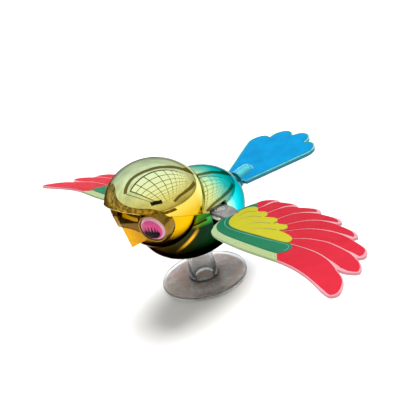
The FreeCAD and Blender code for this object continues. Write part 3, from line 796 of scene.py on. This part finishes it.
def build_eye(label, side):
    place = eye_matrix(side)
    ring = SOCKET_RADIUS
    rim = EYE_RADIUS
    proud = SOCKET_PROUD
    socket = lathe([
        (0, -SOCKET_DEEP), (ring, -SOCKET_DEEP), (ring, -2.6), (ring - 0.15, -1.9),
        (rim + 1.05, proud - 0.3), (rim + 0.9, proud - 0.06), (rim + 0.7, proud),
        (rim + 0.4, proud - 0.02), (rim + 0.15, proud - 0.3), (rim + 0.1, SOCKET_DISH),
        (0, SOCKET_DISH),
    ], place=place)
    piece(f"socket_ring_{label}", socket, "bird", "plated_gold", "socket_gold",
          [f"eye_socket_{label}"], 0.1)
    iris = ellipse((5.1, 5.0), 80, (-0.45 * side, -0.45))
    layers = [
        ("base", circle(rim, 96), -0.55, 0.0, "eye_white", [f"eye_disc_{label}"], 0.1, 3),
        ("iris", iris, -0.1, 0.06, "eye_pink", [], 0.03, 2),
        ("pupil", lashed_pupil(side), 0.0, 0.11, "eye_black", [], 0.02, 2),
    ]
    for part, outline, low, high, paint, replaces, soft, segments in layers:
        mesh = sheet(outline, eye_front, low, high, spacing=0.8, place=place)
        piece(f"eye_{part}_{label}", mesh, "bird", "eye_print", paint, replaces, soft, segments)


def build_beak():
    """Hard-edged wedge of a beak that leans forward at the top."""
    half = 10.0
    flare = 4.2
    depth = 8.5
    height = 14.5
    rise = 4.7
    back_rise = depth * (rise / flare)
    tip = Vector((0, -35.4, 37.2))
    lean = Matrix.Rotation(math.radians(9.1), 3, "X")
    nearly_flat = math.radians(1)
    corners = []
    for at_tip, at_flare, at_back in ((0, rise, back_rise), (height, height, height)):
        corners.append((0, 0, at_tip))
        corners += [(x, flare, at_flare) for x in (half, -half)]
        corners += [(x, depth, at_back) for x in (half, -half)]
    form = bmesh.new()
    for corner in corners:
        form.verts.new(tip + lean @ Vector(corner))
    bmesh.ops.convex_hull(form, input=form.verts)
    bmesh.ops.dissolve_limit(form, angle_limit=nearly_flat, verts=form.verts, edges=form.edges)
    piece("beak_wedge", to_mesh(form), "bird", "plated_gold", "beak_gold", ["beak"], 0.35, 4, 20)


# ---------------- wings

# Plan of the left wing, as (distance out from the bird's middle, distance back).
LEADING_EDGE = [
    (30.4, -4.7), (34, -11.5), (40, -16.8), (56, -18), (79, -16.8), (93, -19.4), (105.5, -25),
]
FEATHERS = [
    [(110, -26.2), (111.3, -23), (109, -17.7), (105, -12.8), (99, -8.7)],
    [(103, -8.5), (106.5, -6), (105, -2), (101.4, 1.5), (98.6, 3.2)],
    [(100, 6), (99, 9.3), (95.4, 13), (85.8, 17.1)],
    [(86.4, 20.5), (81.7, 23.9), (71.1, 26)],
    [(72, 28.7), (67.5, 31.4), (57.8, 30.7)],
    [(57, 33), (52.5, 34.6), (45.6, 30.6)],
    [(41.1, 32.6), (34.7, 30)],
    [(31, 30.8), (27.4, 26.6), (27, 21)],
]
NOTCHES = [feather[-1] for feather in FEATHERS[:-1]]
ROOT_EDGE = [FEATHERS[-1][-1], (27, 13.5), (28.6, 3.5), LEADING_EDGE[0]]
# Between two feathers: from the inner end, under the coverts, to near the notch.
QUILLS = [
    [(70, -2), (77.5, -1.4), (84.7, -2), (91.8, -4.4)],
    [(67.6, 2.9), (71.1, 5.6), (75.9, 7.6), (82.1, 8.4), (92.5, 6.2)],
    [(60, 6.5), (63.3, 11.8), (67.1, 15.4), (72.7, 17.8), (79.2, 18.4)],
    [(55.6, 13), (57.7, 19), (60.9, 23), (65, 25.2)],
    [(48, 14.4), (48.7, 21.4), (50.7, 25.9), (53.6, 28.8)],
    [(39.8, 16.5), (39.9, 22.2), (41, 27.4), (43, 29.8)],
    [(32.6, 17.5), (32.6, 22.6), (32.8, 27.5)],
]
BAND = [
    (27.4, 20.6), (27.4, 13.5), (29, 3.5), (30.7, -4.2), (32.9, -8.2), (35.4, -11), (38.8, -12.8),
    (44.4, -13.7), (58, -13.1), (69, -12.6), (73, -12), (74.7, -9.5), (74.4, -6), (72.6, -3.2),
    (69.4, -1.6), (62, -2.6), (50, -4), (42, -4.6), (38, -3), (34.6, 1), (32, 7), (31, 13),
    (31.6, 17.4), (30, 20.4),
]
COVERT = [
    (35, -3.2), (32.6, 0.4), (30.4, 5.5), (29.4, 9.4), (29.1, 13), (29.6, 16), (31.2, 17.4),
    (33, 16.9), (34.9, 15), (36, 13.6), (39, 16.4), (41, 15.3), (43, 12.2), (42.3, 10.9),
    (47, 13.9), (49.4, 13.2), (51, 10), (50.4, 8), (55.6, 11.3), (58, 10.2), (59.5, 7),
    (57.2, 4.4), (61, 4.4), (65, 3.6), (68.4, 1.8), (69.8, -2), (67.6, -2.9), (62.2, -3.9),
    (56, -4.6), (50.2, -5.5), (45.8, -6.2), (41.9, -6.4), (38.2, -5.7),
]
COVERT_GROOVES = [
    [(33.9, 3.3), (32.8, 7.7), (33.3, 11.1), (35.7, 13.3)],
    [(37.1, 0.7), (37, 5.1), (38.4, 8.4), (42, 10.6)],
    [(43.1, 0), (43.9, 2.8), (46.2, 5.7), (50.1, 7.8)],
    [(48.2, -2.1), (50.7, 1.1), (53.9, 3), (57, 4.2)],
]
BAND_LINE = [
    (28.9, 12), (29.3, 6), (30.6, 1), (32.6, -2.9), (35, -5.6), (38, -7.4), (42, -8), (50, -7.1),
    (60, -5.6), (68, -3.9), (71.5, -4.2), (73.2, -6.5), (73.4, -9.4),
]

PLATE_HALF = 0.6
PRINT_SUNK = 0.1
WING_THICK = 1.6
ARM_TOP = 42.4
ROOT_OUT = 21
ROOT_BACK = 2
ROOT_LEVEL = 42.6
WING_PITCH = math.tan(math.radians(10))
WING_DROOP = math.tan(math.radians(5))
WING_CURL = 0.00057


def wing_surface(x, y):
    """Middle of the wing's plate: it pitches down to the back, droops and curls up a little."""
    out = x - ROOT_OUT
    return ROOT_LEVEL - WING_PITCH * (y - ROOT_BACK) - WING_DROOP * out + WING_CURL * out ** 2


def wing_stretches():
    """Outline of the left wing in turn: its leading edge, each feather's tip and its root."""
    stretches = [smooth_curve(LEADING_EDGE)]
    for start, feather in zip([LEADING_EDGE[-1]] + NOTCHES, FEATHERS):
        stretches.append(smooth_curve([start] + feather))
    stretches.append(smooth_curve(ROOT_EDGE))
    return stretches


def under_covert(quill):
    """Place further in along a quill's line, where the coverts hide its inner end."""
    further = 3.5
    start = Vector(quill[0])
    return tuple(start + (start - Vector(quill[1])).normalized() * further)


def feather_loops():
    """Printed outline of each feather, with which of its points lie on the wing's edge."""
    red_starts = 74.5
    band_corner = (72.4, -12.4)
    root_end = [FEATHERS[-1][-1], (30, 17.5)]
    stretches = wing_stretches()
    quills = [
        smooth_curve([under_covert(quill)] + quill + [notch], 5)
        for quill, notch in zip(QUILLS, NOTCHES)
    ]
    first_front = [band_corner] + [p for p in stretches[0] if p[0] > red_starts]
    backs = [quill[::-1] for quill in quills] + [root_end]
    loops = []
    for front, tip, back in zip([first_front] + quills, stretches[1:-1], backs):
        inner = 1 if front is first_front else len(front) - 1
        outer = len(front) - 1 - inner + len(tip)
        free = [False] * inner + [True] * outer + [False] * (len(back) - 1)
        loops.append((front[:-1] + tip + back[1:], free))
    return loops


def print_depths(loop, free, notch, widest):
    """Clear margin round a feather's print: narrow, but wide near the notch in front of it."""
    at_edge = 0.5
    at_quill = 0.34
    notch_reach = 10
    depths = []
    for point, exposed in zip(loop, free):
        near = max(1 - math.dist(point, notch) / notch_reach, 0.0)
        depths.append((at_edge if exposed else at_quill) + widest * near)
    return depths


def wing_layer(label, name, loop, low, high, paint, soft, replaces=(), segments=3):
    """Layer of a wing between two offsets from the middle of its plate."""
    mesh = sheet(loop, wing_surface, low, high, SIDES[label])
    piece(name, mesh, f"wing_{label}_body", "wing_plastic", paint, replaces, soft, segments)


def wing_beads(label, name, paths, lift, radius, taper, paint):
    """Raised lines on a wing, at this height above its plate."""
    for number, path in enumerate(paths, start=1):
        run = [
            (SIDES[label] * x, y, wing_surface(x, y) + PLATE_HALF + lift)
            for x, y in smooth_curve(path, 6)
        ]
        bead = tube(run, radius, taper=taper)
        piece(f"{name}_{label}_{number}", bead, f"wing_{label}_body", "wing_plastic", paint)


def build_wing(label, side):
    outline = [point for stretch in wing_stretches() for point in stretch[:-1]]
    wing_layer(label, f"wing_plate_{label}", outline, -PLATE_HALF, PLATE_HALF, "wing_plate", 0.2,
               [f"wing_{label}"], 2)
    sunk = PLATE_HALF - PRINT_SUNK
    starts = [LEADING_EDGE[-1]] + NOTCHES
    for number, ((loop, free), notch) in enumerate(zip(feather_loops(), starts), start=1):
        widest = 0.5 if number == 1 else 1.7
        printed = inset(loop, print_depths(loop, free, notch, widest))
        wing_layer(label, f"feather_{label}_{number}", printed, sunk, PLATE_HALF + 0.18, "wing_red", 0.12)
    wing_layer(label, f"wing_band_{label}", rounded(BAND, 2), sunk, PLATE_HALF + 0.32, "wing_green", 0.14)
    wing_layer(label, f"wing_covert_{label}", rounded(COVERT, 2), sunk, PLATE_HALF + 0.5,
               "wing_yellow", 0.16)
    ridges = [quill + [notch] for quill, notch in zip(QUILLS, NOTCHES)]
    # Painted shade: the olive beads mark the shaded grooves between the coverts.
    wing_beads(label, "covert_groove", COVERT_GROOVES, 0.28, 0.42, 0.6, "groove_shade_paint")
    wing_beads(label, "band_line", [BAND_LINE], 0.2, 0.24, 1.0, "wing_line")
    wing_beads(label, "feather_ridge", ridges, 0.0, 0.36, 0.35, "wing_ridge")
    build_tab(label, side)


def tab_surface(x, y):
    """The tab lies flat on the lever's arm and then slopes down onto the wing's plate."""
    bend_start = 26
    bend_length = 5
    above_plate = 0.35
    share = min(max((x - bend_start) / bend_length, 0.0), 1.0)
    ease = share * share * (3 - 2 * share)
    return (ARM_TOP + WING_THICK / 2) * (1 - ease) + (wing_surface(x, y) + above_plate) * ease


def build_tab(label, side):
    """Tab that holds the wing to its lever, with a raised ring round the rivet's head."""
    body = f"wing_{label}_body"
    start = LEVER_END - 5.6
    end = 31.0
    middle = (start + end) / 2
    front = -1.5
    back = 7.5
    corner = 3
    loop = rounded([(start, front), (middle, front), (end, front), (end, corner), (end, back),
                    (middle, back), (start, back), (start, corner)], share=0.14)
    tab = sheet(loop, tab_surface, -WING_THICK / 2, WING_THICK / 2, side, 1.5)
    piece(f"wing_tab_{label}", tab, body, "wing_plastic", "tab_plastic", soft=0.25)
    across = side * (RIVET_LOW.x + RIVET_HIGH.x) / 2
    place = Matrix.Translation(Vector((across, (RIVET_LOW.y + RIVET_HIGH.y) / 2, 0)))
    top = ARM_TOP + WING_THICK
    boss = lathe([
        (1.7, top - 0.2), (2.7, top - 0.2), (2.6, top + 0.25), (2.3, top + 0.35), (1.9, top + 0.25),
        (1.7, top),
    ], 48, place)
    piece(f"tab_boss_{label}", boss, body, "wing_plastic", "rivet_plastic", soft=0.08)
    rivet = lathe([
        (0, RIVET_LOW.z), (0.9, RIVET_LOW.z), (0.9, top), (1.5, top), (1.45, top + 0.25),
        (1.1, top + 0.45), (0.5, top + 0.3), (0, top + 0.2),
    ], 48, place)
    piece(f"rivet_{label}", rivet, body, "clear_rivet", "rivet_plastic", [f"wing_rivet_{label}"], 0.06)


# ---------------- tail

# Plan of the tail's left half, as (distance out from its middle, distance back from its root).
TAIL_START = (8, 0)
TAIL_CORNER = (21.8, 31)
TAIL_TIP = (0, 47)
TAIL_LOBES = [
    [TAIL_CORNER, (22.9, 34.5), (22.5, 38), (20, 41.5), (16.4, 42.9), (13, 42)],
    [(13, 42), (12.6, 45.6), (10.4, 48.9), (7, 50.5), (3, 49.9), TAIL_TIP],
]
TAIL_HALF = 1.1
TAIL_PLACE = Matrix.Translation(TAIL_ROOT) @ Matrix.Rotation(TAIL_RISE, 4, "X")


def tail_loop():
    steps = 10
    half = [
        tuple(a + (b - a) * step / steps for a, b in zip(TAIL_START, TAIL_CORNER))
        for step in range(steps)
    ]
    for lobe in TAIL_LOBES:
        half += smooth_curve(lobe, 5)[:-1]
    return half + [TAIL_TIP] + [(-x, y) for x, y in half[::-1]]


def tail_layer(name, loop, low, high, paint, replaces=(), soft=0.12, segments=3):
    """Flat layer of the tail between two heights from its middle."""
    mesh = sheet(loop, lambda x, y: 0.0, low, high, spacing=3.0, place=TAIL_PLACE)
    piece(name, mesh, "bird", "tail_plastic", paint, replaces, soft, segments)


def build_tail():
    loop = tail_loop()
    printed = inset(loop, [TAIL_HALF] * len(loop))
    sunk = TAIL_HALF - PRINT_SUNK
    proud = TAIL_HALF + 0.16
    tail_layer("tail_blade", loop, -TAIL_HALF, TAIL_HALF, "tail_plate", ["tail"], 0.5, 4)
    tail_layer("tail_face", printed, sunk, proud, "tail_print")
    tail_layer("tail_under", printed, -proud, -sunk, "tail_print")
    # Painted highlight: a pale bead along the tail's clear edge stands in for its bright edge line.
    edge = [TAIL_PLACE @ Vector((x, y, 1.05)) for x, y in inset(loop, [0.3] * len(loop))]
    piece("tail_edge_highlight", tube(edge, 0.34, closed=True), "bird", "tail_plastic", "tail_edge_highlight")
    along = TAIL_PLACE @ Matrix.Rotation(-math.pi / 2, 4, "X")
    barrel = lathe([
        (2, 0), (3.6, 0), (4.2, 0.5), (4.4, 1.6), (4.4, 7.5), (4.2, 9.2), (3.7, 10.6), (2.7, 11.6),
        (1.4, 12.1), (0, 12.2), (0, 10), (2, 10),
    ], 64, along)
    piece("tail_barrel", barrel, "bird", "tail_plastic", "tail_barrel", soft=0.2)
    collar = lathe([
        (2, -2.8), (5.2, -2.8), (5.2, -1.2), (4.7, -1.0), (4.7, -0.6), (5.0, -0.4), (4.9, 0), (2, 0),
    ], 96, along)
    piece("tail_collar_ring", collar, "bird", "plated_back", "tail_collar", ["tail_collar"], 0.12)


# ---------------- stand

DISC_TOP = DISC_HIGH.z - 0.4
POST_RADIUS = 6


def build_disc():
    """Clear disc with a low raised rim."""
    radius = DISC_HIGH.x
    low = DISC_LOW.z
    rim = DISC_HIGH.z
    disc = lathe([
        (POST_RADIUS, low), (radius - 0.4, low), (radius - 0.08, low + 0.12), (radius, low + 0.4),
        (radius, rim - 0.35), (radius - 0.12, rim - 0.1), (radius - 0.4, rim), (radius - 1.1, rim),
        (radius - 1.4, rim - 0.12), (radius - 1.8, DISC_TOP), (POST_RADIUS, DISC_TOP),
    ], 192)
    piece("clear_disc", disc, "stand", "clear_plastic", "clear_plastic", ["base_disc"], 0.08)


def build_post():
    """Clear hollow post with a flared foot."""
    bore = 4.9
    foot = POST_LOW.z
    height = POST_HIGH.z
    post = lathe([
        (bore, foot), (POST_RADIUS, foot), (POST_RADIUS, DISC_TOP), (8.2, DISC_TOP),
        (7.8, DISC_TOP + 0.35), (7.55, DISC_TOP + 1.2), (6.8, 12), (6.8, height - 0.3),
        (6.5, height), (bore, height),
    ], 96)
    piece("clear_post", post, "stand", "clear_plastic", "post_plastic", ["stand_post"], 0.12)


def build_pad():
    """Foam tape under the disc, and the paper liner under that."""
    edge = PAD_HIGH.x
    low = PAD_LOW.z
    high = PAD_HIGH.z
    pad = lathe([
        (0, low), (edge - 0.2, low), (edge, low + 0.15), (edge - 0.05, high - 0.1),
        (edge - 0.2, high - 0.01), (0, high - 0.01),
    ])
    piece("foam_pad", pad, "stand", "foam_tape", "foam_tape", ["adhesive_pad"], 0.05)
    wide = LINER_HIGH.x
    top = LINER_HIGH.z
    liner = lathe([(0, 0), (wide - 0.02, 0), (wide, 0.03), (wide, 0.12), (wide - 0.02, top), (0, top)])
    piece("paper_liner", liner, "stand", "release_paper", "release_paper", ["pad_liner"], 0.01, 1)


def build_spring():
    """Copy of the coil as a piece of its own. In the toy it shortens towards its seat as the bird is
    pressed down on it.
    """
    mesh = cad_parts["return_spring"].data.copy()
    coil = piece("return_spring_coil", mesh, "stand", "bright_steel", "bright_steel", ["return_spring"])
    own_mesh(coil)


# ---------------- mechanism that stays CAD

CAD_PAINT = {
    "white_nylon": ["post_cap", "double_rack", "post_bush", "tail_peg", "wing_lever_left",
                    "wing_lever_right"],
    "bright_steel": ["drive_rod", "rack_nut", "frame_screws", "wing_pins"],
    "dark_plastic": ["mechanism_frame"],
}


def paint_cad():
    for paint, nodes in CAD_PAINT.items():
        for node in nodes:
            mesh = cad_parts[node].data
            mesh.materials.clear()
            mesh.materials.append(PAINT[paint])


# ---------------- studio

HEAD_LEVEL = Vector((0, 0, 0.05))


def stage_mesh(name, form, material, mirrored_only=True):
    """A studio surface. Cards are there for the plating to mirror, and nothing else sees them."""
    mesh = bpy.data.meshes.new(name)
    form.to_mesh(mesh)
    form.free()
    thing = in_scene(name, mesh)
    mesh.materials.append(material)
    if mirrored_only:
        thing.visible_camera = False
        thing.visible_diffuse = False
        thing.visible_shadow = False
        thing.visible_transmission = False
    return thing


def glowing(name, form, colour, strength):
    """Studio surface with the same glow all over."""
    shader = Shader(name + "_glow", Roughness=0.9)
    shader.glow(colour, strength)
    return stage_mesh(name, form, shader.material)


def rectangle(form, low, high, level):
    corners = [low, (high[0], low[1]), high, (low[0], high[1])]
    form.faces.new([form.verts.new((x, y, level)) for x, y in corners])


def ball(radius, rings):
    form = bmesh.new()
    bmesh.ops.create_uvsphere(form, u_segments=64, v_segments=rings, radius=radius)
    return form


def towards(azimuth, elevation, distance=1.0):
    """Point in a direction: azimuth 0 is in front of the bird and 90 on its left side."""
    turn = math.radians(azimuth)
    rise = math.radians(elevation)
    flat = math.cos(rise) * distance
    return Vector((math.sin(turn) * flat, -math.cos(turn) * flat, math.sin(rise) * distance))


def build_floor():
    half = 6
    just_under = -0.00005
    form = bmesh.new()
    rectangle(form, (-half, -half), (half, half), just_under)
    paint = Shader("floor_paint", Base_Color=(0.95, 0.95, 0.95, 1), Roughness=0.9).material
    stage_mesh("floor", form, paint, mirrored_only=False)


def build_backdrop():
    """Pale surround that only the camera sees, so that the floor has no dark horizon."""
    surround = glowing("backdrop", ball(5.5, 32), (0.96, 0.96, 0.95, 1), 1.0)
    surround.visible_camera = True
    surround.visible_glossy = False


def build_dome():
    """Sky that only the plating mirrors: bright overhead and dim near the ground."""
    shader = Shader("dome_glow", Roughness=1.0)
    sky = shader.ramp(shader.z, {
        -600: (150, 146, 136), 0: (160, 158, 148), 300: (205, 206, 196), 900: (232, 236, 226),
        1700: (226, 232, 214), 3000: (244, 248, 232),
    })
    shader.glow(sky, shader.patches(900.0, 2.0, 0.35, 0.7, 0.82, 1.12))
    stage_mesh("dome", ball(3.0, 48), shader.material)


def build_ceiling():
    """Wide softbox overhead, behind a grid of bars as on an egg-crate, with beams beside it."""
    level = 0.8
    under = level - 0.01
    left = -0.12
    right = 1.75
    front = -0.5
    back = 1.9
    cells = 9
    bar = 0.011
    beam = 0.035
    light = bmesh.new()
    rectangle(light, (left, front), (right, back), level)
    glowing("ceiling_light", light, (0.96, 0.98, 0.84, 1), 1.08)
    bars = bmesh.new()
    for row in range(cells + 1):
        y = front + (back - front) * row / cells
        rectangle(bars, (left, y - bar), (right, y + bar), under)
    for column in range(cells + 1):
        x = left + (right - left) * column / cells
        rectangle(bars, (x - bar, front), (x + bar, back), under)
    rectangle(bars, (left - beam, front - beam), (left, back), under)
    rectangle(bars, (left - beam, front - beam), (right, front), under)
    rectangle(bars, (left - 5 * beam, front - 6 * beam), (right, front - 5 * beam), under)
    glowing("ceiling_bars", bars, (0.20, 0.14, 0.03, 1), 0.4)


def band(form, directions, width):
    """Flat strip that runs through directions, as (azimuth, elevation), round the bird."""
    distance = 0.72
    line = [towards(*direction, distance) for direction in smooth_curve(directions, 6)]
    edges = []
    for index, point in enumerate(line):
        along = line[min(index + 1, len(line) - 1)] - line[max(index - 1, 0)]
        across = along.cross(point).normalized() * width / 2
        edges.append([form.verts.new(point + HEAD_LEVEL + across * sign) for sign in (1, -1)])
    for one, two in zip(edges, edges[1:]):
        form.faces.new([one[0], one[1], two[1], two[0]])


def build_beams():
    """Dark beams beside the ceiling light, and the small dark shape of a camera in front."""
    beams = bmesh.new()
    band(beams, [(181, 4), (158, 10), (141, 14), (120, 16), (104, 12)], 0.075)
    band(beams, [(-24, 44), (-50, 57), (-95, 66), (-135, 62), (-156, 45), (-160, 30), (-160, 12),
                 (-150, -2)], 0.11)
    glowing("beams", beams, (0.30, 0.24, 0.10, 1), 0.6)
    shape = bmesh.new()
    band(shape, [(54, 25), (66, 26), (80, 24)], 0.12)
    glowing("camera_shape", shape, (0.03, 0.03, 0.02, 1), 0.5)


def card_top(azimuth):
    """Elevation of the front wall's top: it falls slowly to the left, and fast at both ends."""
    left_end = max(azimuth - 40, 0)
    right_end = max(-60 - azimuth, 0)
    return max(28 - 0.11 * (azimuth + 43) - 0.012 * left_end ** 2 - 0.022 * right_end ** 2, 0.5)


def build_front_card():
    """Dim ground and wall in front of the bird, which the plating shows as a brown horizon."""
    distance = 1.3
    above_floor = Vector((0, 0, 0.0003))
    form = bmesh.new()
    rows = []
    for azimuth in range(-125, 101, 5):
        inner = 0.34 if azimuth > -60 else 0.14
        foot = towards(azimuth, 0, inner) + above_floor
        corner = towards(azimuth, 0, distance) + above_floor
        wall = towards(azimuth, card_top(azimuth), distance)
        rows.append([form.verts.new(point) for point in (foot, corner, wall)])
    for one, two in zip(rows, rows[1:]):
        for level in range(2):
            form.faces.new([one[level], two[level], two[level + 1], one[level + 1]])
    shader = Shader("card_paint", Roughness=0.9)
    brown = shader.ramp(shader.z, {
        -1: (120, 100, 60), 150: (176, 150, 96), 480: (150, 130, 84), 700: (96, 84, 50),
    })
    shader.glow(brown, shader.patches(150.0, 3.0, 0.4, 0.6, 0.4, 1.5))
    stage_mesh("front_card", form, shader.material)


def aimed_light(name, kind, place, energy):
    """Light that shines towards the bird from this place, and isn't mirrored by it."""
    lamp = bpy.data.lights.new(name, kind)
    lamp.energy = energy
    holder = in_scene(name, lamp)
    holder.location = place
    holder.rotation_euler = (-place).to_track_quat("-Z", "Y").to_euler()
    holder.visible_glossy = False
    return lamp


def build_lights():
    sun = aimed_light("key", "SUN", towards(219, 69), 4.1)
    sun.angle = math.radians(38)
    lamps = [
        ("fill", towards(40, 50, 1.3), 1.2, 3.2),
        ("rim", towards(-110, 40, 1.2), 1.0, 1.5),
    ]
    for name, place, size, power in lamps:
        lamp = aimed_light(name, "AREA", place, power)
        lamp.shape = "DISK"
        lamp.size = size
    world = bpy.data.worlds.new("studio_air")
    bpy.context.scene.world = world
    world.use_nodes = True
    background = world.node_tree.nodes["Background"]
    background.inputs["Color"].default_value = (1.0, 1.0, 1.0, 1)
    background.inputs["Strength"].default_value = 0.3


def build_camera():
    """Camera high on the bird's left front, rolled so that the bird tips up to the left."""
    target = Vector((0, 0, 0.035))
    back = towards(56.8, 25.5)
    distance = 0.3
    data = bpy.data.cameras.new("camera")
    data.lens = 51.28
    data.sensor_width = 36
    data.shift_x = 0.0481
    data.shift_y = 0.0207
    data.clip_start = 0.01
    camera = in_scene("camera", data)
    camera.location = target + back * distance
    level = (-back).to_track_quat("-Z", "Y")
    roll = Matrix.Rotation(math.radians(-14.9), 3, "Z").to_quaternion()
    camera.rotation_mode = "QUATERNION"
    camera.rotation_quaternion = level @ roll
    bpy.context.scene.camera = camera


def build_studio():
    build_camera()
    build_floor()
    build_backdrop()
    build_dome()
    build_ceiling()
    build_beams()
    build_front_card()
    build_lights()
    bpy.context.scene.view_settings.view_transform = "Standard"


build_studio()
build_shells()
build_beak()
for label, side in SIDES.items():
    build_eye(label, side)
    build_wing(label, side)
build_tail()
build_disc()
build_post()
build_pad()
build_spring()
paint_cad()
